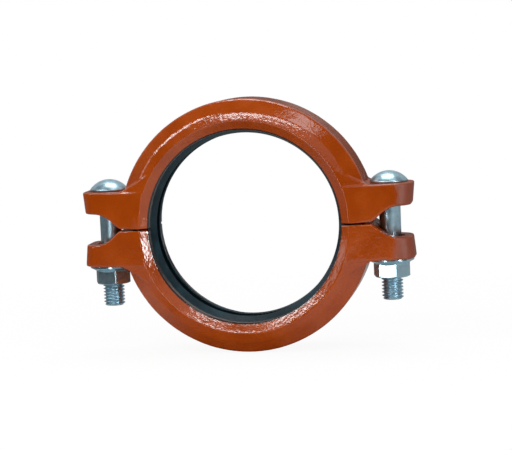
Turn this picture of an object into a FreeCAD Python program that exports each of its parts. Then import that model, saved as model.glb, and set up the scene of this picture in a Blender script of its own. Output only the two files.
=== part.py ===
import FreeCAD, Part
import math
import os

# Grooved flexible coupling for 4 inch pipe, in millimetres.
# Two cast half housings close round a rubber ring gasket, and two track-head bolts
# with flange nuts draw them together. The origin is the middle of the bore: Y runs
# along the pipe, Z is up along the bolts, and X runs from bolt to bolt.

# Pipe that it joins
pipe_diameter = 114.3
groove_depth = 2.1

# Housing ring, from the keys outwards
key_clearance = 1.45
key_face_width = 40.6
key_edge_bevel = 0.6
key_edge_rise = 1.2
ridge_setback = 5.9
crown_reach = 5.2
crown_fall = 1.7
pocket_depth = 11.6
pocket_width = 26.8
housing_wall = 6.8
housing_width = 46.2
rim_width = 30.6
rim_edge_radius = 2.4
crown_edge_radius = 8.0
bevel_edge_radius = 0.8
pocket_corner_radius = 3.0
parting_gap = 0.8

# Bolt pads at the ends of each half
bolt_offset = 9.1
pad_end_margin = 14.8
pad_height = 22.4
pad_underside = 9.0
pad_end_width = 26.4
pad_end_draft = 6.0
pad_front_overlap = 2.6
pad_corner_radius = 9.5
pad_edge_radius = 1.1
hole_web = 0.85
ramp_angle = 40.0
ramp_curve_radius = 17.0
gusset_end_gap = 8.2
gusset_top_reach = 2.0
gusset_top_angle = 29.4
gusset_setback = 0.2
gusset_tip_setback = 0.8

# Track-head bolts
bolt_diameter = 12.7
thread_depth = 1.2
bolt_length = 69.3
head_diameter = 22.4
head_crown_radius = 14.0
head_rim = 1.0
head_edge_radius = 0.4
neck_length = 15.9
neck_depth = 8.0
neck_clearance = 0.4

# Flange nuts
nut_across_flats = 19.05
nut_height = 11.2
nut_flange_diameter = 26.8
nut_flange_rim = 1.3
nut_flange_height = 3.4
nut_chamfer_angle = 25.0
nut_corner_direction = 20.0
nut_bore_clearance = 0.06
spot_face_clearance = 0.8

# Ring gasket
gasket_clearance = 0.3
gasket_back_wall = 4.0
gasket_side_wall = 3.4
lip_squeeze = 2.85
lip_gap = 12.4
lip_flare = 3.9
lip_thickness = 1.2
lip_bend_reach = 5.7
gasket_inner_round = 2.0
gasket_bend_round = 0.8
lip_tip_round = 0.3

# Sizes worked out from those above
face = housing_width / 2
groove_diameter = pipe_diameter - 2 * groove_depth
key_radius = groove_diameter / 2 + key_clearance
ridge_radius = key_radius + ridge_setback
crown_radius = ridge_radius + crown_reach
pocket_radius = key_radius + pocket_depth
rim_radius = pocket_radius + housing_wall
bolt_x = rim_radius + bolt_offset
pad_reach = bolt_x + pad_end_margin
pad_front_start = ridge_radius - pad_front_overlap
hole_length = neck_length + 2 * neck_clearance
hole_width = bolt_diameter + 2 * neck_clearance
ramp_start = bolt_x - hole_length / 2 - hole_web
bolt_radius = bolt_diameter / 2
blank_start = key_radius - 5

pipe_axis = FreeCAD.Vector(0, 1, 0)
up = FreeCAD.Vector(0, 0, 1)


def at(x, y, z):
    return FreeCAD.Vector(x, y, z)


def outline(corners):
    """Closed wire through (point, radius) corners; each radius rounds its corner."""
    stretches = []
    for i, (corner, radius) in enumerate(corners):
        if radius == 0:
            stretches.append([corner])
            continue
        back = (corners[i - 1][0] - corner).normalize()
        ahead = (corners[(i + 1) % len(corners)][0] - corner).normalize()
        half_angle = back.getAngle(ahead) / 2
        setback = radius / math.tan(half_angle)
        inward = (back + ahead).normalize()
        middle = corner + inward * (radius / math.sin(half_angle) - radius)
        stretches.append([corner + back * setback, middle, corner + ahead * setback])
    edges = []
    for i, stretch in enumerate(stretches):
        if len(stretch) == 3:
            edges.append(Part.Arc(*stretch).toShape())
        following = stretches[(i + 1) % len(stretches)][0]
        if stretch[-1].distanceToPoint(following) > 1e-6:
            edges.append(Part.LineSegment(stretch[-1], following).toShape())
    return Part.Wire(edges)


def turned_ring(front_half):
    """Ring about the pipe, from the (radius, y, rounding) corners of its front half."""
    rear_half = [(radius, -y, rounding) for radius, y, rounding in reversed(front_half)]
    corners = [(at(radius, y, 0), rounding) for radius, y, rounding in front_half + rear_half]
    return Part.Face(outline(corners)).revolve(at(0, 0, 0), pipe_axis, 360)


def turned_about_bolt(corners, x):
    """Solid of revolution about a bolt axis, from (radius, z, rounding) corners."""
    wire = outline([(at(radius, 0, z), rounding) for radius, z, rounding in corners])
    solid = Part.Face(wire).revolve(at(0, 0, 0), up, 360)
    solid.translate(at(x, 0, 0))
    return solid


def oval(x, length, width, low, high):
    """Upright bar with an oval section that is longest along X."""
    ends = [(-1, -1), (1, -1), (1, 1), (-1, 1)]
    corners = [(at(x + i * length / 2, j * width / 2, low), width / 2) for i, j in ends]
    return Part.Face(outline(corners)).extrude(up * (high - low))


def ring_blank():
    """The ring without its bore: rim, sloped sides and a crowned ridge on each face."""
    return turned_ring([
        (blank_start, -face, 0),
        (ridge_radius, -face, 0),
        (crown_radius, crown_fall - face, crown_edge_radius),
        (rim_radius, -rim_width / 2, rim_edge_radius),
    ])


def bore_space():
    """Everything that the bore takes away: bevels, keys and the gasket's pocket."""
    outside = face + 5
    key_face = key_face_width / 2
    pocket = pocket_width / 2
    return turned_ring([
        (0, -outside, 0),
        (ridge_radius, -outside, 0),
        (ridge_radius, -face, 0),
        (key_radius + key_edge_rise, -key_face, bevel_edge_radius),
        (key_radius, -key_face + key_edge_bevel, 0),
        (key_radius, -pocket, 0),
        (pocket_radius, -pocket, pocket_corner_radius),
    ])


def pad_front(x):
    """Y of a pad's front face, which draws in from the ridge towards the pad's end."""
    share = (x - pad_front_start) / (pad_reach - pad_front_start)
    return -face + share * (face - pad_end_width / 2)


def pad_blank():
    """Right-hand pad: tapered in plan, with a curved ramp under it and a drafted end."""
    beyond = pad_reach + 5
    front = [at(blank_start, -face, 0), at(pad_front_start, -face, 0), at(beyond, pad_front(beyond), 0)]
    rear = [at(p.x, -p.y, 0) for p in reversed(front)]
    plan = Part.Face(outline([(p, 0) for p in front + rear])).extrude(up * pad_height)

    low = parting_gap / 2
    ramp_run = (pad_underside - low) / math.tan(math.radians(ramp_angle))
    drawn_in = (pad_height - pad_underside) * math.tan(math.radians(pad_end_draft))
    side = outline([
        (at(blank_start, -face - 1, low), 0),
        (at(ramp_start, -face - 1, low), pad_edge_radius),
        (at(ramp_start + ramp_run, -face - 1, pad_underside), ramp_curve_radius),
        (at(pad_reach - drawn_in, -face - 1, pad_underside), 0),
        (at(pad_reach, -face - 1, pad_height), 0),
        (at(blank_start, -face - 1, pad_height), 0),
    ])
    pad = plan.common(Part.Face(side).extrude(pipe_axis * (housing_width + 2)))

    corners = [e for e in pad.Edges if lowest_x(e) > pad_reach - 5 and rise(e) > 5]
    pad = pad.makeFillet(pad_corner_radius, corners)
    rims = [e for e in pad.Edges if on_pad_rim(e)]
    return pad.makeFillet(pad_edge_radius, rims)


def lowest_x(edge):
    return min(v.X for v in edge.Vertexes)


def rise(edge):
    return edge.BoundBox.ZLength


def on_pad_rim(edge):
    """True for the edges round a pad's top and round the flat part of its underside."""
    level = abs(edge.BoundBox.ZMin - pad_height) < 0.01 or abs(edge.BoundBox.ZMax - pad_underside) < 0.01
    return rise(edge) < 0.01 and level and lowest_x(edge) > pad_front_start - 0.01


def gusset():
    """Wedge between a pad's top and the ring, proud of the ring's crown at its inner edge."""
    base = pad_height - pad_edge_radius
    tip = bolt_x - gusset_end_gap
    top_radius = ridge_radius + gusset_top_reach
    top_angle = math.radians(gusset_top_angle)
    front = [
        at(pad_front_start, gusset_setback - face, base),
        at(tip, pad_front(tip) + gusset_tip_setback, base),
        at(top_radius * math.cos(top_angle), gusset_setback - face, top_radius * math.sin(top_angle)),
    ]
    rear = [at(p.x, -p.y, p.z) for p in front]
    wires = [Part.makePolygon(side + side[:1]) for side in (front, rear)]
    return Part.makeLoft(wires, True, True)


def mirrored(shape):
    return shape.mirror(at(0, 0, 0), at(1, 0, 0))


def upper_half():
    """One half casting: half a ring, with a pad, two gussets and a bolt hole each side."""
    ear = pad_blank().fuse(gusset())
    body = ring_blank().fuse([ear, mirrored(ear)]).cut(bore_space())
    spot_face_radius = nut_flange_diameter / 2 + spot_face_clearance
    for x in (-bolt_x, bolt_x):
        spot_face = Part.makeCylinder(spot_face_radius, rim_radius, at(x, 0, pad_height))
        body = body.cut(spot_face)
        body = body.cut(oval(x, hole_length, hole_width, 0, pad_height + 1))
    below = Part.makeBox(4 * rim_radius, 4 * rim_radius, 4 * rim_radius)
    below.translate(at(-2 * rim_radius, -2 * rim_radius, parting_gap / 2 - 4 * rim_radius))
    return body.cut(below).removeSplitter()


def lower_half():
    """The same casting, turned half a turn about the pipe."""
    half = upper_half()
    half.rotate(at(0, 0, 0), pipe_axis, 180)
    return half


def bolt(x):
    """Track-head bolt: low domed head, oval neck that the pad holds, and round shank."""
    head_radius = head_diameter / 2
    rim_top = pad_height + head_rim
    tip = pad_height - bolt_length
    crown_centre = rim_top - math.sqrt(head_crown_radius ** 2 - head_radius ** 2)
    stem = turned_about_bolt([
        (0, tip, 0),
        (bolt_radius - thread_depth, tip, 0),
        (bolt_radius, tip + thread_depth, 0),
        (bolt_radius, pad_height, 0),
        (head_radius, pad_height, head_edge_radius),
        (head_radius, rim_top, 0),
        (0, rim_top, 0),
    ], x)
    ball = Part.makeSphere(head_crown_radius, at(x, 0, crown_centre))
    dome = ball.common(Part.makeCylinder(head_radius, head_radius, at(x, 0, rim_top)))
    neck = oval(x, neck_length, bolt_diameter, pad_height - neck_depth, pad_height)
    return stem.fuse([dome, neck]).removeSplitter()


def nut(x):
    """Hexagon flange nut, seated on the lower pad with its free end down."""
    seat = -pad_height
    free_end = seat - nut_height
    corner_radius = nut_across_flats / 2 / math.cos(math.radians(30))
    bore = bolt_radius + nut_bore_clearance
    chamfer_drop = (corner_radius - nut_across_flats / 2) * math.tan(math.radians(nut_chamfer_angle))

    first = nut_corner_direction - 90
    ring = [math.radians(first + 60 * i) for i in range(6)]
    hexagon = outline([(at(x + corner_radius * math.cos(a), corner_radius * math.sin(a), free_end), 0) for a in ring])
    prism = Part.Face(hexagon).extrude(up * nut_height)
    chamfered = turned_about_bolt([
        (0, free_end, 0),
        (nut_across_flats / 2, free_end, 0),
        (corner_radius, free_end + chamfer_drop, 0),
        (corner_radius, seat, 0),
        (0, seat, 0),
    ], x)
    flange_radius = nut_flange_diameter / 2
    flange = turned_about_bolt([
        (0, seat, 0),
        (flange_radius, seat, 0),
        (flange_radius, seat - nut_flange_rim, 0),
        (nut_across_flats / 2, seat - nut_flange_height, 0),
        (0, seat - nut_flange_height, 0),
    ], x)
    hole = turned_about_bolt([
        (0, free_end, 0),
        (bore + thread_depth / 2, free_end, 0),
        (bore, free_end + thread_depth / 2, 0),
        (bore, seat - thread_depth / 2, 0),
        (bore + thread_depth / 2, seat, 0),
        (0, seat, 0),
    ], x)
    return prism.common(chamfered).fuse(flange).cut(hole).removeSplitter()


def ring_gasket():
    """Rubber ring with a C section, whose two tapered lips reach in past the keys."""
    outer = pocket_radius - gasket_clearance
    side = pocket_width / 2 - gasket_clearance
    lip_radius = pipe_diameter / 2 - lip_squeeze
    tip = lip_gap / 2
    slope = math.atan2(side - tip, lip_flare)
    tip_out = lip_thickness * math.sin(slope)
    tip_in = lip_thickness * math.cos(slope)
    return turned_ring([
        (outer - gasket_back_wall, gasket_side_wall - side, gasket_inner_round),
        (lip_radius + lip_bend_reach, gasket_side_wall - side, gasket_bend_round),
        (lip_radius + tip_out, tip_in - tip, lip_tip_round),
        (lip_radius, -tip, lip_tip_round),
        (lip_radius + lip_flare, -side, gasket_bend_round),
        (outer, -side, pocket_corner_radius - gasket_clearance),
    ])


pieces = {
    "upper_housing": upper_half(),
    "lower_housing": lower_half(),
    "gasket": ring_gasket(),
    "left_bolt": bolt(-bolt_x),
    "right_bolt": bolt(bolt_x),
    "left_nut": nut(-bolt_x),
    "right_nut": nut(bolt_x),
}

os.makedirs("parts", exist_ok=True)
for name, piece in pieces.items():
    piece.exportStep("parts/%s.step" % name)
    box = piece.BoundBox
    print("%-14s solids %d  valid %s  volume %.0f mm3  box %.2f x %.2f x %.2f" % (
        name, len(piece.Solids), piece.isValid(), piece.Volume,
        box.XLength, box.YLength, box.ZLength))
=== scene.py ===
# %% [markdown]
# # A grooved pipe coupling
# Two cast iron halves, painted orange, close round a black rubber ring. Two zinc plated
# bolts with flange nuts pull them together over the grooves of two pipe ends.
# The solids come from the CAD model, which is the frame that every piece here has to fit.
# The looks are made in Blender: cast skin, glossy enamel, rolled threads and pressed nuts.

# %% The CAD frame
import math

import bmesh
import bpy
from mathutils import Matrix, Vector


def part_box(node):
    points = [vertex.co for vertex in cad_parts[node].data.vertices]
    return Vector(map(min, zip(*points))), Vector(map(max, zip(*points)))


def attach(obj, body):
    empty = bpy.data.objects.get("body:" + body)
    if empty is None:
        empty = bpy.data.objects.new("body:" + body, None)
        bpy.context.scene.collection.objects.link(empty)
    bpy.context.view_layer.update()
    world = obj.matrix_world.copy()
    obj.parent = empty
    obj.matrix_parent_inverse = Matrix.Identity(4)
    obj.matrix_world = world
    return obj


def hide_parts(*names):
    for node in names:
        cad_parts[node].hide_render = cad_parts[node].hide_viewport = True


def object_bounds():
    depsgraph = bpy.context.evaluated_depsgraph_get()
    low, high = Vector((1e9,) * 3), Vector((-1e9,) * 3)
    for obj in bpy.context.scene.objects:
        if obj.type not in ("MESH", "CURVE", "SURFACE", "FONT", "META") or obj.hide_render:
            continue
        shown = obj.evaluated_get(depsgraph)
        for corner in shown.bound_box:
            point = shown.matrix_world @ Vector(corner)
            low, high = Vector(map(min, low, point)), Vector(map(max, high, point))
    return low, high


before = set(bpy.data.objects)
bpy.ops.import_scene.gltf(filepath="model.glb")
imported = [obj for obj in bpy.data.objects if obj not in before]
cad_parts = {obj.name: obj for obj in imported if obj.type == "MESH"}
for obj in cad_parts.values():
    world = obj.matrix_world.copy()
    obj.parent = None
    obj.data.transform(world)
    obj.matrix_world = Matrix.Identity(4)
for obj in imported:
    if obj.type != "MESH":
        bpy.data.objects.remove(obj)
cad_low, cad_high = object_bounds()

mm = 0.001

# %% [markdown]
# ## Where the photographer stood
# A picture is only comparable with another when both were taken from the same place. Ours
# was taken a little to the right of the pipe's axis and a little above it, with the camera
# tipped a couple of degrees. The distance sets how much nearer parts grow, and a long lens
# then brings the coupling to its size in the picture.
# The camera could be placed by hand, but worked out from angles it can be checked: two
# points of the rim have to land on the pixels where the photograph has them.

# %% The camera
picture_width, picture_height = 512, 450
camera_turn = math.radians(9.1)
camera_rise = math.radians(5.8)
camera_tip = math.radians(2.52)
camera_distance = 1.117
focal_pixels = 1881
origin_pixel = (248.9, 223.4)

towards_camera = Vector((
    math.sin(camera_turn) * math.cos(camera_rise),
    -math.cos(camera_turn) * math.cos(camera_rise),
    math.sin(camera_rise),
))
level_right = Vector((0, 0, 1)).cross(towards_camera).normalized()
level_up = towards_camera.cross(level_right)
camera_right = level_right * math.cos(camera_tip) - level_up * math.sin(camera_tip)
camera_up = level_right * math.sin(camera_tip) + level_up * math.cos(camera_tip)
metres_per_pixel = camera_distance / focal_pixels
aim = (camera_right * (picture_width / 2 - origin_pixel[0])
       - camera_up * (picture_height / 2 - origin_pixel[1])) * metres_per_pixel

lens = bpy.data.cameras.new("long_lens")
lens.sensor_width = 36
lens.lens = focal_pixels * lens.sensor_width / picture_width
camera = bpy.data.objects.new("camera", lens)
bpy.context.scene.collection.objects.link(camera)
turned = Matrix((camera_right, camera_up, towards_camera)).transposed().to_4x4()
camera.matrix_world = Matrix.Translation(aim + towards_camera * camera_distance) @ turned
bpy.context.scene.camera = camera


def pixel_of(point):
    """Where a point of the object lands in the picture, counted from its upper left corner."""
    seen = turned.inverted() @ (point - camera.matrix_world.translation)
    across = picture_width / 2 - focal_pixels * seen.x / seen.z
    down = picture_height / 2 + focal_pixels * seen.y / seen.z
    return round(across, 1), round(down, 1)


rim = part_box("upper_housing")[1].z
print("lens %.1f mm" % lens.lens)
print("rim, right and left", pixel_of(Vector((rim, 0, 0))), pixel_of(Vector((-rim, 0, 0))))
print("rim, top and bottom", pixel_of(Vector((0, 0, rim))), pixel_of(Vector((0, 0, -rim))))

# %% [markdown]
# ## Writing nodes as sums
# Materials and Geometry Nodes are both trees of nodes. Made by hand they are dragged and
# joined one at a time; made in Python they soon fill pages. So one small class stands for
# an output socket and lets Python's own signs add the Math nodes, and another stands for a
# tree and has one method that makes any node, sets it up and joins its inputs.

# %% Sockets and trees
class Socket:
    """An output of a node, which sums and products turn into Math nodes."""

    def __init__(self, tree, output):
        self.tree = tree
        self.output = output

    def maths(self, operation, *others):
        """A Math node whose first value is this one, with the others after it."""
        return self.tree.maths(operation, self, *others)

    def __add__(self, other):
        return self.maths("ADD", other)

    def __sub__(self, other):
        return self.maths("SUBTRACT", other)

    def __rsub__(self, other):
        return self.tree.maths("SUBTRACT", other, self)

    def __mul__(self, other):
        return self.maths("MULTIPLY", other)

    def __truediv__(self, other):
        return self.maths("DIVIDE", other)

    def __rtruediv__(self, other):
        return self.tree.maths("DIVIDE", other, self)

    def beside(self, output):
        """Another output of the same node."""
        return Socket(self.tree, self.output.node.outputs[output])


class Tree:
    """A node tree of any kind."""

    def __init__(self, inner):
        self.inner = inner

    def make(self, kind, settings=None, values=(), output=0):
        """Adds a node: first its settings, then values or links for its sockets."""
        node = self.inner.nodes.new(kind)
        for name, setting in (settings or {}).items():
            setattr(node, name, setting)
        pairs = values.items() if isinstance(values, dict) else enumerate(values)
        for name, value in pairs:
            if isinstance(value, Socket):
                self.inner.links.new(value.output, node.inputs[name])
            else:
                node.inputs[name].default_value = value
        return Socket(self, node.outputs[output]) if node.outputs else None

    def maths(self, operation, *values):
        """A Math node; its values may be numbers or sockets."""
        return self.make("ShaderNodeMath", {"operation": operation}, values)


def colour(red, green, blue):
    return (red, green, blue, 1.0)


def grey(level):
    return colour(level, level, level)


print("node helpers ready")

# %% [markdown]
# ## What all the finishes share
# Every finish here starts from noise that is read in Object coordinates, so a pattern sits
# in the metal and doesn't slide when a piece moves. A noise of a given size is needed again
# and again, so it gets a function that takes the size of its grains in millimetres. Bumps
# get one too: a height in millimetres, so that each finish can be compared with real ones.

# %% Noise, bumps and mixes
def new_material(name):
    """An empty material, the tree in it and its Object coordinates."""
    material = bpy.data.materials.new(name)
    material.use_nodes = True
    material.node_tree.nodes.clear()
    tree = Tree(material.node_tree)
    place = tree.make("ShaderNodeTexCoord", output="Object")
    return material, tree, place


def grains(tree, place, size, detail=2.0, roughness=0.5, shift=0.0):
    """Noise from 0 to 1, with grains about this many millimetres across."""
    moved = tree.make("ShaderNodeVectorMath", {"operation": "ADD"}, {
        0: place,
        1: (shift, shift, shift),
    })
    return tree.make("ShaderNodeTexNoise", {"noise_dimensions": "3D", "normalize": True}, {
        "Vector": moved,
        "Scale": 1 / (size * mm),
        "Detail": detail,
        "Roughness": roughness,
    })


def contrast(tree, value, low, high, into=(0.0, 1.0)):
    """Spreads the part of a value between low and high over a new range, and clamps it."""
    return tree.make("ShaderNodeMapRange", {"clamp": True}, {
        "Value": value,
        "From Min": low,
        "From Max": high,
        "To Min": into[0],
        "To Max": into[1],
    })


def length(tree, vector):
    return tree.make("ShaderNodeVectorMath", {"operation": "LENGTH"}, {0: vector}, output="Value")


def blended(tree, share, first, second):
    """Mixes two colours, which may be sockets."""
    return tree.make("ShaderNodeMix", {"data_type": "RGBA"}, {0: share, 6: first, 7: second}, output=2)


def bump(tree, height, depth, under=None):
    """Normals for a height from 0 to 1 that is this many millimetres deep."""
    values = {"Strength": 1.0, "Distance": depth * mm, "Height": height}
    if under:
        values["Normal"] = under
    return tree.make("ShaderNodeBump", values=values)


def finish_with(tree, values):
    """Ends a material in one Principled shader with these inputs."""
    shader = tree.make("ShaderNodeBsdfPrincipled", values=values)
    tree.make("ShaderNodeOutputMaterial", values={"Surface": shader})


print("finish helpers ready")

# %% [markdown]
# ## Orange enamel on sand-cast iron
# The housings are cast in sand, shot blasted and dipped or sprayed with a glossy enamel.
# The enamel flows, so it is smooth in the small, but it can't hide the grain of the sand:
# wide soft dimples of 3 to 5 mm and, on top, an orange peel of about 1 mm. That peel is
# what breaks the edges of every highlight into sparks.
# One noise would look like a golf ball. Three sizes of grain, each with its own depth, give
# the peel, and a slow change of colour shows where the paint lies thinner.
# Two places differ, and both are picked out by Object coordinates: the narrow lands of the
# keys, in the recess beside the rubber, get a painted shade that is nearly black, and the far
# ends of the right bolt pads get a darker painted shade and a duller gloss.

# %% The enamel
paint, tree, place = new_material("orange_enamel")
dimples = grains(tree, place, 4.5, detail=1.0)
peel = grains(tree, place, 1.3, detail=1.5, shift=0.31)
fine = grains(tree, place, 0.6, detail=1.0, shift=0.62)
flow = grains(tree, place, 16.0, detail=3.0, shift=0.13)
specks = contrast(tree, grains(tree, place, 1.1, detail=1.0, shift=0.87), 0.66, 0.74)

thin_coat = colour(0.34, 0.052, 0.0011)
full_coat = colour(0.29, 0.041, 0.0009)
# A darker enamel colour, used for the real dark specks and for the painted shade at the pad ends.
speck_and_shade_colour = colour(0.20, 0.027, 0.0009)
# A nearly black painted shade for the keys' lands, which lie in a recess beside the rubber.
painted_shade_land_colour = colour(0.006, 0.010, 0.011)
land_radius = 57.55 * mm
land_blur = 0.2 * mm
shaded_end_start = 86.5 * mm
shaded_end_full = 91.0 * mm
shaded_end_waver = 8.0 * mm
body_colour = blended(tree, contrast(tree, flow, 0.35, 0.65), full_coat, thin_coat)
body_colour = blended(tree, specks * 0.35, body_colour, speck_and_shade_colour)

spot = tree.make("ShaderNodeSeparateXYZ", values={0: place})
across = spot.beside("X")
up = spot.beside("Z")
from_axis = (across * across + up * up).maths("SQRT")
# Painted shade: the keys' narrow lands are painted nearly black.
shaded_land_mask = contrast(tree, from_axis, land_radius + land_blur, land_radius - land_blur)
body_colour = blended(tree, shaded_land_mask * 0.93, body_colour, painted_shade_land_colour)

# Painted shade: the far ends of the right bolt pads are painted darker, and their roughness is raised.
dull_shaded_end = contrast(tree, across + (flow - 0.5) * shaded_end_waver, shaded_end_start, shaded_end_full)
body_colour = blended(tree, dull_shaded_end * 0.8, body_colour, speck_and_shade_colour)

rough_normal = bump(tree, dimples, 0.05)
peel_normal = bump(tree, peel, 0.11, rough_normal)
fine_normal = bump(tree, fine, 0.008, peel_normal)
finish_with(tree, {
    "Base Color": body_colour,
    "Roughness": contrast(tree, flow + peel * 0.4, 0.5, 0.9, (0.09, 0.17)) + dull_shaded_end * 0.42,
    "Specular IOR Level": 0.9,
    "Normal": fine_normal,
})
print("enamel", len(tree.inner.nodes), "nodes")

# %% [markdown]
# ## Black rubber
# The gasket is moulded in a polished steel mould, so it has a satin shine with hardly any
# grain, and its black leans to blue. A faint bloom, the dusty film that rubber grows on a
# shelf, is lighter and duller and lies in clouds.

# %% The rubber
rubber, tree, place = new_material("moulded_rubber")
clouds = grains(tree, place, 14.0, detail=4.0, roughness=0.6)
dust = grains(tree, place, 0.8, detail=2.0, shift=0.4)
bloom = contrast(tree, clouds + dust * 0.25, 0.55, 0.85)
finish_with(tree, {
    "Base Color": blended(tree, bloom, colour(0.005, 0.019, 0.026), colour(0.014, 0.046, 0.062)),
    "Roughness": contrast(tree, bloom, 0.0, 1.0, (0.30, 0.46)),
    "Specular IOR Level": 0.28,
    "Normal": bump(tree, dust, 0.012, bump(tree, clouds, 0.10)),
})
print("rubber", len(tree.inner.nodes), "nodes")

# %% [markdown]
# ## Bright zinc plating
# Zinc that is plated and dipped in a clear blue passivate is a cool, slightly bluish silver.
# It isn't a mirror: the steel under it was rolled or forged, so it has a soft, mottled sheen
# with short scratches along the bolt, from drawing the wire and from tumbling.
# The scratches are noise that is stretched along Z, which a Mapping node does.
# The bolts are satin and the nuts, pressed in smoother dies, are brighter: the same recipe
# with other numbers, so it is a function that is called twice.

# %% The zinc
def zinc_plate(name, dark, light, smoothest, roughest):
    """Plated steel whose sheen wanders between two colours and two roughnesses."""
    plate, tree, place = new_material(name)
    drawn = tree.make("ShaderNodeMapping", values={"Vector": place, "Scale": (1.0, 1.0, 0.12)})
    scratches = grains(tree, drawn, 0.5, detail=2.0)
    mottle = grains(tree, place, 2.6, detail=3.0, roughness=0.6, shift=0.2)
    grit = grains(tree, place, 0.7, detail=2.0, shift=0.5)
    sheen = contrast(tree, mottle + grit * 0.3, 0.45, 0.85)
    finish_with(tree, {
        "Base Color": blended(tree, sheen, dark, light),
        "Metallic": 1.0,
        "Roughness": contrast(tree, mottle + scratches * 0.4, 0.45, 0.95, (smoothest, roughest)),
        "Normal": bump(tree, scratches, 0.003, bump(tree, mottle, 0.012)),
    })
    print(name, len(tree.inner.nodes), "nodes")
    return plate


bolt_zinc = zinc_plate("bolt_zinc", colour(0.38, 0.61, 0.73), colour(0.58, 0.80, 0.91), 0.28, 0.40)
nut_zinc = zinc_plate("nut_zinc", colour(0.44, 0.70, 0.84), colour(0.66, 0.88, 0.97), 0.15, 0.26)

# %% [markdown]
# ## Running a Geometry Nodes tree
# A Geometry Nodes tree works on an object through a modifier. The result is wanted as a
# plain mesh, so that it exports and moves like any other: the tree is run once, its result
# is taken as a new mesh, and the modifier goes. The named inputs of a tree are its sizes,
# and a modifier knows them by an identifier that has to be looked up.

# %% Trees that make meshes
class Maker(Tree):
    """A Geometry Nodes tree with named inputs, which starts from the object's own mesh."""

    def __init__(self, name, sizes):
        super().__init__(bpy.data.node_groups.new(name, "GeometryNodeTree"))
        sockets = self.inner.interface
        sockets.new_socket("Geometry", in_out="INPUT", socket_type="NodeSocketGeometry")
        for size in sizes:
            sockets.new_socket(size, in_out="INPUT", socket_type="NodeSocketFloat")
        sockets.new_socket("Finish", in_out="INPUT", socket_type="NodeSocketMaterial")
        sockets.new_socket("Geometry", in_out="OUTPUT", socket_type="NodeSocketGeometry")
        self.start = self.make("NodeGroupInput")

    def size(self, name):
        return self.start.beside(name)

    def finish(self, geometry):
        """Ends the tree: real geometry, smooth faces and the finish."""
        real = self.make("GeometryNodeRealizeInstances", values={"Geometry": geometry})
        smooth = self.make("GeometryNodeSetShadeSmooth", values={"Geometry": real})
        values = {"Geometry": smooth, "Material": self.size("Finish")}
        done = self.make("GeometryNodeSetMaterial", values=values)
        self.make("NodeGroupOutput", values={"Geometry": done})


def add_piece(name, mesh):
    piece = bpy.data.objects.new(name, mesh)
    bpy.context.scene.collection.objects.link(piece)
    return piece


def settle(piece):
    """Turns what the modifiers make into the piece's own mesh and removes them."""
    piece_now = piece.evaluated_get(bpy.context.evaluated_depsgraph_get())
    mesh = bpy.data.meshes.new_from_object(piece_now)
    piece.modifiers.clear()
    piece.data = mesh
    mesh.name = piece.name
    check = bmesh.new()
    check.from_mesh(mesh)
    closed = all(edge.is_manifold for edge in check.edges)
    triangles = sum(len(face.verts) - 2 for face in check.faces)
    volume = check.calc_volume(signed=True) / mm ** 3
    print("%s: %d triangles, %s, %.0f mm3" % (
        piece.name, triangles, "closed" if closed else "OPEN", volume))
    check.free()


def run_maker(piece, maker, sizes):
    """Adds a Geometry Nodes tree to a piece, with these sizes."""
    modifier = piece.modifiers.new(maker.inner.name, "NODES")
    modifier.node_group = maker.inner
    for item in maker.inner.interface.items_tree:
        if item.in_out == "INPUT" and item.name in sizes:
            modifier[item.identifier] = sizes[item.name]


print("makers ready")

# %% [markdown]
# ## The cast housings
# A casting has no sharp edges: the sand rounds every corner by half a millimetre or so, and
# fills every inner corner a little. Bevelling the CAD edges one by one would be long and
# would fail where thin triangles meet. A voxel remesh does to the mesh what the mould does
# to the iron: it turns the solid into even small faces, and a light smoothing then rounds
# all its edges alike.
# A Geometry Nodes tree gives the remeshed skin its real unevenness: each point moves inwards
# by a noise, never out of the CAD shape. Each half gets its own part of the noise, as no two
# castings are alike. Finer grain than the faces can carry is left to the enamel's bumps.
# The tree also planes the pads' fronts. Near the parting face the ring's crown would stand
# half a millimetre proud of the flat pad that grows out of it, and the real one runs smooth,
# so a point there that lies in front of the pad's plane moves back to it. Higher up, where
# the gusset rises, the plane lets go.

# %% A tree for cast skin
cast_skin = Maker("cast_skin", [
    "Grain", "Depth", "Swell", "Swell Depth", "Seed",
    "Face", "Pad Start", "Pad Slope", "Flat Height", "Blend"])
position = cast_skin.make("GeometryNodeInputPosition")
normal = cast_skin.make("GeometryNodeInputNormal")
highest_noise = 0.9
let_go_slope = 0.3


def sinking(grain, depth, shift):
    """How far each point moves along its normal: less than 0, which is inwards."""
    noise = cast_skin.make("ShaderNodeTexNoise", {"noise_dimensions": "4D", "normalize": True}, {
        "Vector": position,
        "W": cast_skin.size("Seed") + shift,
        "Scale": 1.0 / cast_skin.size(grain),
        "Detail": 1.5,
    })
    return (noise - highest_noise) * cast_skin.size(depth)


inwards = cast_skin.make("ShaderNodeVectorMath", {"operation": "SCALE"}, {
    "Vector": normal,
    "Scale": sinking("Grain", "Depth", 0.0) + sinking("Swell", "Swell Depth", 7.0),
})
rough_skin = cast_skin.make("GeometryNodeSetPosition", values={
    "Geometry": cast_skin.start,
    "Offset": inwards,
})
size = cast_skin.size
x = cast_skin.make("ShaderNodeSeparateXYZ", values={0: position})
y = x.beside("Y")
z = x.beside("Z")
past_start = x.maths("ABSOLUTE") - size("Pad Start")
above_flat = z.maths("ABSOLUTE") - size("Flat Height")
plane = size("Face") - past_start.maths("MAXIMUM", 0.0) * size("Pad Slope")
let_go = above_flat.maths("MAXIMUM", 0.0) * let_go_slope
planed = y.maths("ABSOLUTE").maths("SMOOTH_MIN", plane + let_go, size("Blend"))
flush = cast_skin.make("ShaderNodeCombineXYZ", values=[x, planed * y.maths("SIGN"), z])
cast_skin.finish(cast_skin.make("GeometryNodeSetPosition", values={
    "Geometry": rough_skin,
    "Position": flush,
}))
print("cast skin tree,", len(cast_skin.inner.nodes), "nodes")

# %% Both housings
voxel = 0.5 * mm

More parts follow.
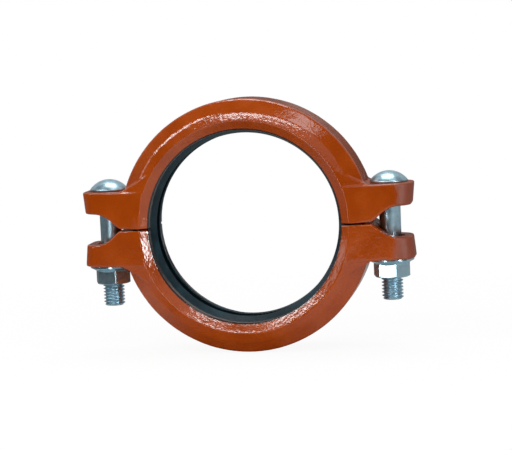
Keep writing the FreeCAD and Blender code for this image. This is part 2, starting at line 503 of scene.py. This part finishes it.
# The front of a pad falls back evenly, from the ring's face at its start to a y at its end.
face_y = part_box("upper_housing")[1].y
face_sunk = 0.1 * mm
pad_start = 59.8 * mm
pad_end = 98.8 * mm
pad_end_y = 13.2 * mm
for half, body, seed in (("upper_housing", "upper_half", 2.0), ("lower_housing", "lower_half", 5.0)):
    welded = bmesh.new()
    welded.from_mesh(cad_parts[half].data)
    bmesh.ops.remove_doubles(welded, verts=welded.verts, dist=0.001 * mm)
    mesh = bpy.data.meshes.new(half)
    welded.to_mesh(mesh)
    welded.free()

    housing = add_piece(half.replace("housing", "casting"), mesh)
    remesh = housing.modifiers.new("sand", "REMESH")
    remesh.mode = "VOXEL"
    remesh.voxel_size = voxel
    remesh.use_smooth_shade = True
    soften = housing.modifiers.new("soften", "SMOOTH")
    soften.factor = 0.5
    soften.iterations = 7
    run_maker(housing, cast_skin, {
        "Grain": 3.2 * mm,
        "Depth": 0.14 * mm,
        "Swell": 22 * mm,
        "Swell Depth": 0.25 * mm,
        "Seed": seed,
        "Face": face_y - face_sunk,
        "Pad Start": pad_start,
        "Pad Slope": (face_y - pad_end_y) / (pad_end - pad_start),
        "Flat Height": 17 * mm,
        "Blend": 0.2 * mm,
        "Finish": paint,
    })
    thin_out = housing.modifiers.new("thin_out", "DECIMATE")
    thin_out.ratio = 0.53
    settle(housing)
    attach(housing, body)
    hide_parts(half)

# %% [markdown]
# ## The rubber ring
# The gasket has the same C section all the way round, so it is a section swept along a
# circle. The section is drawn as a closed wire of corners, and each corner carries the
# radius that it is rounded by. The tree turns the wire into a curve, rounds its corners,
# sweeps it along the circle and lays the ring on the pipe's axis. Steps round the ring are
# short enough that its silhouette shows no corners. Swept this way round, the faces point
# into the rubber, which the negative volume showed, so the tree flips them.

# %% A tree that sweeps a ring
ring_maker = Maker("swept_ring", ["Ring Radius", "Steps", "Round Steps"])
wire = ring_maker.make("GeometryNodeMeshToCurve", values={"Mesh": ring_maker.start})
corner_round = ring_maker.make(
    "GeometryNodeInputNamedAttribute", {"data_type": "FLOAT"}, {"Name": "round"})
section = ring_maker.make("GeometryNodeFilletCurve", {"mode": "POLY"}, {
    "Curve": wire,
    "Count": ring_maker.size("Round Steps"),
    "Radius": corner_round,
    "Limit Radius": True,
})
rail = ring_maker.make("GeometryNodeCurvePrimitiveCircle", {"mode": "RADIUS"}, {
    "Resolution": ring_maker.size("Steps"),
    "Radius": ring_maker.size("Ring Radius"),
})
swept = ring_maker.make("GeometryNodeCurveToMesh", values={"Curve": rail, "Profile Curve": section})
outwards = ring_maker.make("GeometryNodeFlipFaces", values={"Mesh": swept})
laid = ring_maker.make("GeometryNodeTransform", values={
    "Geometry": outwards,
    "Rotation": (math.radians(-90), 0, 0),
})
ring_maker.finish(laid)
print("ring tree,", len(ring_maker.inner.nodes), "nodes")

# %% The gasket
ring_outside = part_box("gasket")[1].z / mm
ring_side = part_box("gasket")[1].y / mm
ring_radius = ring_outside - 4.0
wall_inside = ring_side - 3.4
lip_tip_y = 6.2
lip_tip_radius = 54.3
lip_thick = 1.2
lip_flare = 3.9
lip_bend = 5.7
lip_slope = math.atan2(ring_side - lip_tip_y, lip_flare)
lip_back_radius = lip_tip_radius + lip_thick * math.sin(lip_slope)
lip_back_y = lip_tip_y - lip_thick * math.cos(lip_slope)

# The radius, the y and the rounding of each corner.
half_section = [
    (ring_radius, wall_inside, 2.0),
    (lip_tip_radius + lip_bend, wall_inside, 0.8),
    (lip_back_radius, lip_back_y, 0.3),
    (lip_tip_radius, lip_tip_y, 0.3),
    (lip_tip_radius + lip_flare, ring_side, 0.8),
    (ring_outside, ring_side, 2.7),
]
other_half = [(radius, -y, rounding) for radius, y, rounding in reversed(half_section)]
corners = half_section + other_half
mesh = bpy.data.meshes.new("gasket_ring")
mesh.from_pydata(
    [((radius - ring_radius) * mm, y * mm, 0) for radius, y, rounding in corners],
    [(i, (i + 1) % len(corners)) for i in range(len(corners))],
    [])
rounding_values = mesh.attributes.new("round", "FLOAT", "POINT")
rounding_values.data.foreach_set("value", [rounding * mm for radius, y, rounding in corners])
gasket = add_piece("gasket_ring", mesh)
run_maker(gasket, ring_maker, {
    "Ring Radius": ring_radius * mm,
    "Steps": 256.0,
    "Round Steps": 6.0,
    "Finish": rubber,
})
settle(gasket)
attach(gasket, "lower_half")
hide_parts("gasket")

# %% [markdown]
# ## The bolts
# A track-head bolt starts as drawn wire. A press upsets its low domed head and the oval neck
# that stops it turning in the housing, and flat dies then roll the thread.
# The head and shank are turned shapes, so they are rings of points at a list of stations.
# The neck is oval: its rings are pulled apart along X.
# The thread is a rule: the radius depends only on how far a point is along the pitch. A grid
# whose rows climb one pitch in each turn follows the crest exactly, so a few points across
# each thread are enough. The tree bends such a grid into the threaded stem, clamps its ends
# flat, cuts the chamfer and fades the thread out where the dies stop.

# %% Sizes of the bolts
bolt_x = (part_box("right_bolt")[0].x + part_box("right_bolt")[1].x) / 2 / mm
bolt_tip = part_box("right_bolt")[0].z / mm
head_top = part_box("right_bolt")[1].z / mm
head_seat = -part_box("right_nut")[1].z / mm
head_radius = (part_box("right_bolt")[1].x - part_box("right_bolt")[0].x) / 2 / mm
tip_chamfer = 1.2

# A half-inch bolt has 13 threads to the inch and the usual depth of an American thread.
inch = 25.4
shank_radius = inch / 4
pitch = inch / 13
thread_depth = 0.6134 * pitch
thread_length = 1.25 * inch
thread_top = bolt_tip + thread_length
print("bolt axis at x %.2f, from z %.2f to %.2f, head %.1f across" % (
    bolt_x, bolt_tip, head_top, 2 * head_radius))

# %% A tree that rolls a thread
columns = 72
rows_a_turn = 16
rows = int((thread_length / pitch + 2) * rows_a_turn)

# Widths along the axis, as shares of the pitch.
crest_flat = 1 / 8
root_flat = 1 / 4
flank = (1 - crest_flat - root_flat) / 2
flank_foot = crest_flat / 2 + flank
crest_middle = root_flat + flank_foot

thread_maker = Maker("rolled_thread", [
    "Radius", "Depth", "Pitch", "Tip", "Top", "Chamfer", "Fade", "Across", "Turns"])
size = thread_maker.size
grid = thread_maker.make("GeometryNodeMeshGrid", values={
    "Size X": 1.0,
    "Size Y": 1.0,
    "Vertices X": columns + 1,
    "Vertices Y": rows + 1,
})
spread = thread_maker.make("ShaderNodeSeparateXYZ", values={0: grid.beside("UV Map")})
turn = spread.beside("X")
climb = spread.beside("Y") * size("Turns")
raw_z = size("Tip") + (climb + turn - 1.0) * size("Pitch")
z = raw_z.maths("MAXIMUM", size("Tip")).maths("MINIMUM", size("Top"))

# A little is added, so that a whole turn can't be rounded down into the one before.
phase = (climb + 0.0001).maths("FRACT")
from_crest = (phase - crest_middle).maths("ABSOLUTE")
height = ((flank_foot - from_crest) / flank).maths("MAXIMUM", 0.0).maths("MINIMUM", 1.0)
left_to_top = (size("Top") - z) / size("Fade")
depth_here = size("Depth") * left_to_top.maths("MINIMUM", 1.0)
threaded = size("Radius") - depth_here * (1.0 - height)
chamfered = size("Radius") - size("Chamfer") + (z - size("Tip"))
radius = threaded.maths("MINIMUM", chamfered)
angle = turn * (2 * math.pi)
bent = thread_maker.make("ShaderNodeCombineXYZ", values=[
    radius * angle.maths("COSINE") + size("Across"),
    radius * angle.maths("SINE"),
    z,
])
rolled = thread_maker.make("GeometryNodeSetPosition", values={"Geometry": grid, "Position": bent})
joined = thread_maker.make("GeometryNodeJoinGeometry")
for part in (thread_maker.start, rolled):
    thread_maker.inner.links.new(part.output, joined.output.node.inputs[0])
welded = thread_maker.make("GeometryNodeMergeByDistance", values={
    "Geometry": joined,
    "Distance": 0.002 * mm,
})
thread_maker.finish(welded)
print("thread tree,", len(thread_maker.inner.nodes), "nodes")


# %% The head, neck and shank
def turned_mesh(name, stations, centre_x, steps):
    """Rings of points at (radius, z, half stretch) stations; a radius of 0 closes an end."""
    # Points this near the middle, as a share of the radius, are stretched by less.
    middle_share = 1 / 4
    points = []
    rings = []
    for ring_size, z, stretch in stations:
        if ring_size == 0:
            rings.append([len(points)])
            points.append((centre_x * mm, 0, z * mm))
            continue
        rings.append(list(range(len(points), len(points) + steps)))
        for i in range(steps):
            angle = 2 * math.pi * i / steps
            pulled = stretch * max(-1, min(1, math.cos(angle) / middle_share))
            points.append((
                (centre_x + ring_size * math.cos(angle) + pulled) * mm,
                ring_size * math.sin(angle) * mm,
                z * mm,
            ))
    faces = []
    for lower, upper in zip(rings, rings[1:]):
        for i in range(steps):
            quad = [lower[i % len(lower)], lower[(i + 1) % len(lower)],
                    upper[(i + 1) % len(upper)], upper[i % len(upper)]]
            faces.append(list(dict.fromkeys(quad)))
    mesh = bpy.data.meshes.new(name)
    mesh.from_pydata(points, [], faces)
    return mesh


def dome(radius, rim_z, top_z, steps):
    """Stations from the rim of a domed head to its top."""
    rise = top_z - rim_z
    ball = (radius ** 2 + rise ** 2) / (2 * rise)
    widest = math.asin(radius / ball)
    stations = []
    for i in range(steps + 1):
        angle = widest * (1 - i / steps)
        ring_size = ball * math.sin(angle) if i < steps else 0
        stations.append((ring_size, top_z - ball * (1 - math.cos(angle)), 0))
    return stations


neck_stretch = 1.6
neck_end = head_seat - 8.0
dome_steps = 18
stem = [(0, bolt_tip, 0), (shank_radius - tip_chamfer, bolt_tip, 0)]
shank = [
    (shank_radius, thread_top, 0),
    (shank_radius, neck_end - 0.9, 0),
    (shank_radius, neck_end - 0.1, neck_stretch * 0.85),
    (shank_radius, neck_end + 0.4, neck_stretch),
    (shank_radius, head_seat - 0.6, neck_stretch),
    (shank_radius + 0.15, head_seat - 0.2, neck_stretch),
    (shank_radius + 0.6, head_seat, neck_stretch * 0.8),
    (head_radius - 0.35, head_seat, 0),
    (head_radius - 0.1, head_seat + 0.1, 0),
    (head_radius, head_seat + 0.4, 0),
    (head_radius, head_seat + 0.75, 0),
    (head_radius - 0.06, head_seat + 0.95, 0),
]
shank += dome(head_radius - 0.2, head_seat + 1.15, head_top, dome_steps)

sides = (("left", -1), ("right", 1))
for side, sign in sides:
    whole = bmesh.new()
    whole.from_mesh(turned_mesh("tip", stem, sign * bolt_x, columns))
    whole.from_mesh(turned_mesh("shank", shank, sign * bolt_x, columns))
    mesh = bpy.data.meshes.new(side + "_track_bolt")
    whole.to_mesh(mesh)
    whole.free()
    bolt = add_piece(side + "_track_bolt", mesh)
    run_maker(bolt, thread_maker, {
        "Radius": shank_radius * mm,
        "Depth": thread_depth * mm,
        "Pitch": pitch * mm,
        "Tip": bolt_tip * mm,
        "Top": thread_top * mm,
        "Chamfer": tip_chamfer * mm,
        "Fade": 1.5 * pitch * mm,
        "Across": sign * bolt_x * mm,
        "Turns": rows / rows_a_turn,
        "Finish": bolt_zinc,
    })
    settle(bolt)
    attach(bolt, "upper_half")
    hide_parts(side + "_bolt")

# %% [markdown]
# ## The nuts
# A flange nut is forged: a round blank is pressed into a hexagon that stands on a wide
# flange, and its free end is chamfered. Modelling it the same way is short. The blank is a
# turned mesh with many rings, and a Geometry Nodes tree presses it in: every point that lies
# outside the wanted shape moves in to it. The wanted radius is the flange or the hexagon,
# whichever reaches further, and the hexagon stops at the chamfer's cone. Smooth minimum and
# maximum in place of sharp ones leave the small rounds that a die leaves.

# %% A tree that presses a nut
nut_maker = Maker("pressed_nut", [
    "Across Flats", "Corner Turn", "Seat", "Free End", "Flange Radius", "Flange Rim",
    "Flange Height", "Chamfer Slope", "Blend", "Across"])
size = nut_maker.size
position = nut_maker.make("GeometryNodeInputPosition")
spread = nut_maker.make("ShaderNodeSeparateXYZ", values={0: position})
x = spread.beside("X") - size("Across")
y = spread.beside("Y")
z = spread.beside("Z")
flat = size("Across Flats") / 2
radius = (x * x + y * y).maths("SQRT")
angle = y.maths("ARCTAN2", x) - size("Corner Turn") + 4 * math.pi
from_flat = angle.maths("MODULO", math.pi / 3) - math.pi / 6
hexagon = flat / from_flat.maths("COSINE")
cone = flat + (z - size("Free End")) / size("Chamfer Slope")
pressed = hexagon.maths("SMOOTH_MIN", cone, size("Blend"))
below_rim = size("Seat") - size("Flange Rim") - z
fall = (size("Flange Radius") - flat) / (size("Flange Height") - size("Flange Rim"))
flange = size("Flange Radius") - below_rim.maths("MAXIMUM", 0.0) * fall
wanted = flange.maths("SMOOTH_MAX", pressed, size("Blend"))
share = radius.maths("MINIMUM", wanted) / radius
moved = nut_maker.make("ShaderNodeCombineXYZ", values=[x * share + size("Across"), y * share, z])
shaped = nut_maker.make("GeometryNodeSetPosition", values={
    "Geometry": nut_maker.start,
    "Position": moved,
})
nut_maker.finish(nut_maker.make("GeometryNodeMergeByDistance", values={
    "Geometry": shaped,
    "Distance": 0.002 * mm,
}))
print("nut tree,", len(nut_maker.inner.nodes), "nodes")

# %% Both nuts
nut_seat = -head_seat
free_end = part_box("right_nut")[0].z / mm
flange_radius = (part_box("right_nut")[1].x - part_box("right_nut")[0].x) / 2 / mm
nut_bore = shank_radius + 0.06
bore_chamfer = 0.6
end_face_radius = 9.1
rings_down = 56
steps_round = 180
blank = [
    (nut_bore, nut_seat - bore_chamfer, 0),
    (nut_bore + bore_chamfer, nut_seat, 0),
    (flange_radius - 2.0, nut_seat, 0),
    (flange_radius - 0.3, nut_seat, 0),
    (flange_radius - 0.08, nut_seat - 0.1, 0),
]
blank += [(flange_radius, nut_seat - 0.3 - (nut_seat - free_end - 0.3) * i / rings_down, 0)
          for i in range(rings_down + 1)]
blank += [
    (end_face_radius, free_end, 0),
    (nut_bore + bore_chamfer, free_end, 0),
    (nut_bore, free_end + bore_chamfer, 0),
    (nut_bore, nut_seat - bore_chamfer, 0),
]
blank.reverse()
for side, sign in sides:
    mesh = turned_mesh(side + "_flange_nut", blank, sign * bolt_x, steps_round)
    nut = add_piece(side + "_flange_nut", mesh)
    run_maker(nut, nut_maker, {
        "Across Flats": 19.05 * mm,
        "Corner Turn": math.radians(-70),
        "Seat": nut_seat * mm,
        "Free End": free_end * mm,
        "Flange Radius": flange_radius * mm,
        "Flange Rim": 1.3 * mm,
        "Flange Height": 3.4 * mm,
        "Chamfer Slope": math.tan(math.radians(25)),
        "Blend": 0.5 * mm,
        "Across": sign * bolt_x * mm,
        "Finish": nut_zinc,
    })
    settle(nut)
    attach(nut, side + "_nut")
    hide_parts(side + "_nut")

# %% [markdown]
# ## The floor and the backdrop
# The coupling was photographed on plain white. The floor is white to the camera, but lets a
# little of its own shading through, so the object's shadow stays on it. The world is white
# where it is seen. What gloss and metal see is another matter, and it was read off the
# photograph: dark studio on the camera's side, which gives the paint its depth, a pale
# backdrop behind that ends just above the floor, and a table that is grey, darker towards
# its far left and in the two patches that the ring shades, and black past its front edge.
# Dull surfaces get their plain light from a world that grows lighter overhead.

# %% The floor
reach = 4.0
floor_level = cad_low.z - 0.2 * mm
floor_mesh = bpy.data.meshes.new("floor")
floor_mesh.from_pydata(
    [(-reach, -reach, floor_level), (reach, -reach, floor_level),
     (reach, reach, floor_level), (-reach, reach, floor_level)],
    [], [(0, 1, 2, 3)])
floor = add_piece("floor", floor_mesh)

floor_finish, tree, place = new_material("pale_floor")
seen = tree.make("ShaderNodeLightPath", output="Is Camera Ray")
mirrored = seen.beside("Is Glossy Ray")
sideways = tree.make("ShaderNodeSeparateXYZ", values={0: place})

# The middle and the half axes of each shaded patch. All distances here are in metres.
shaded_patches = [
    ((-0.050, -0.078, 0), (0.062, 0.036, 1.0)),
    ((-0.010, -0.022, 0), (0.044, 0.030, 1.0)),
]
far_left = contrast(tree, sideways, -0.11, -0.16)
mirror_paper = blended(tree, far_left, grey(0.38), grey(0.16))
for middle, half_axes in shaded_patches:
    offset = tree.make("ShaderNodeVectorMath", {"operation": "SUBTRACT"}, {0: place, 1: middle})
    squeezed = tree.make("ShaderNodeVectorMath", {"operation": "DIVIDE"}, {0: offset, 1: half_axes})
    shaded = contrast(tree, length(tree, squeezed), 1.4, 0.6)
    mirror_paper = blended(tree, shaded, mirror_paper, grey(0.03))

from_middle = length(tree, place)
in_front = contrast(tree, sideways.beside("Y"), 0.0, -0.05)
past_edge = contrast(tree, from_middle, 0.36, 0.46) * in_front
lit_paper = blended(tree, mirrored, grey(0.85), mirror_paper)
paper = blended(tree, past_edge, lit_paper, grey(0.02))
pale = tree.make("ShaderNodeBsdfDiffuse", values={"Color": paper})
white = tree.make("ShaderNodeEmission", values={"Color": grey(1.0), "Strength": 1.0})
all_white = contrast(tree, from_middle, 0.15, 0.40, (0.93, 1.0))
shown = tree.make("ShaderNodeMixShader", values={0: seen * all_white, 1: pale, 2: white})
tree.make("ShaderNodeOutputMaterial", values={"Surface": shown})
floor_mesh.materials.append(floor_finish)

# %% The world
world = bpy.data.worlds.new("studio")
bpy.context.scene.world = world
world.use_nodes = True
world.node_tree.nodes.clear()
tree = Tree(world.node_tree)
seen = tree.make("ShaderNodeLightPath", output="Is Camera Ray")
mirrored = seen.beside("Is Glossy Ray")
direction = tree.make("ShaderNodeTexCoord", output="Generated")
along = tree.make("ShaderNodeSeparateXYZ", values={0: direction})
overhead = along.beside("Z")
behind = contrast(tree, along.beside("Y"), -0.1, 0.5)
off_floor = contrast(tree, overhead, 0.14, 0.19, (0.12, 1.0))
glossy_level = behind * off_floor * 0.45 + 0.02
plain_level = overhead.maths("MAXIMUM", 0.0) * 0.55 + 0.08
level = seen.maths("MAXIMUM", mirrored * glossy_level + (1.0 - mirrored) * plain_level)
backing = tree.make("ShaderNodeBackground", values={"Color": grey(1.0), "Strength": level})
tree.make("ShaderNodeOutputWorld", values={"Surface": backing})
print("world,", len(tree.inner.nodes), "nodes")

# %% [markdown]
# ## Soft boxes
# Studio light for glossy things is a matter of what they mirror. The bright line over the top
# of the ring mirrors a long narrow box in front and above, with a wide faint one round it
# for the broad sheen. The white patch low on the left mirrors a small strong box to the right
# of the camera, and the upper right of the ring a higher one. The sparks low on the right
# mirror a slanting box on the left, with a faint tall one below it. A box overhead, a little
# behind, lights the rim and the bolt heads, and a small card low in front gives the right nut
# its white face. Their directions were worked out from those places and the camera's.

# %% The lamps
def soft_box(name, azimuth, elevation, width, height, glow, roll=0, distance=1.0):
    """An area lamp that faces the object; azimuth 0 is straight in front, 90 to the right."""
    turn = math.radians(azimuth)
    rise = math.radians(elevation)
    out = Vector((
        math.sin(turn) * math.cos(rise),
        -math.cos(turn) * math.cos(rise),
        math.sin(rise),
    ))
    lamp = bpy.data.lights.new(name, "AREA")
    lamp.shape = "RECTANGLE"
    lamp.size = width
    lamp.size_y = height
    lamp.energy = glow * math.pi * width * height
    holder = bpy.data.objects.new(name, lamp)
    holder.location = out * distance
    facing = out.to_track_quat("Z", "Y").to_matrix() @ Matrix.Rotation(math.radians(roll), 3, "Z")
    holder.rotation_euler = facing.to_euler()
    bpy.context.scene.collection.objects.link(holder)
    light = glow * width * height / math.pi / distance ** 2
    print(name, "glow", glow, "light on the object %.2f" % light)


soft_box("front_box", -1, 40, 0.60, 0.09, 11.5)
soft_box("wide_box", 10, 33, 1.10, 0.62, 0.36)
soft_box("right_box", 50, 4, 0.13, 0.26, 22.0)
soft_box("high_box", 48, 57, 0.36, 0.28, 2.8)
soft_box("left_box", -51, 40, 0.16, 0.50, 10.5, roll=-45)
soft_box("side_box", -66, 15, 0.16, 0.48, 2.0)
soft_box("top_box", 180, 80, 0.60, 0.34, 5.5)
soft_box("nut_card", -15.2, -10.9, 0.055, 0.035, 10.5, distance=0.338)

# %% [markdown]
# ## Colour, last
# The Standard view shows a colour as it is written, which makes it comparable with the
# photograph's.

# %% Finish
bpy.context.scene.view_settings.view_transform = "Standard"
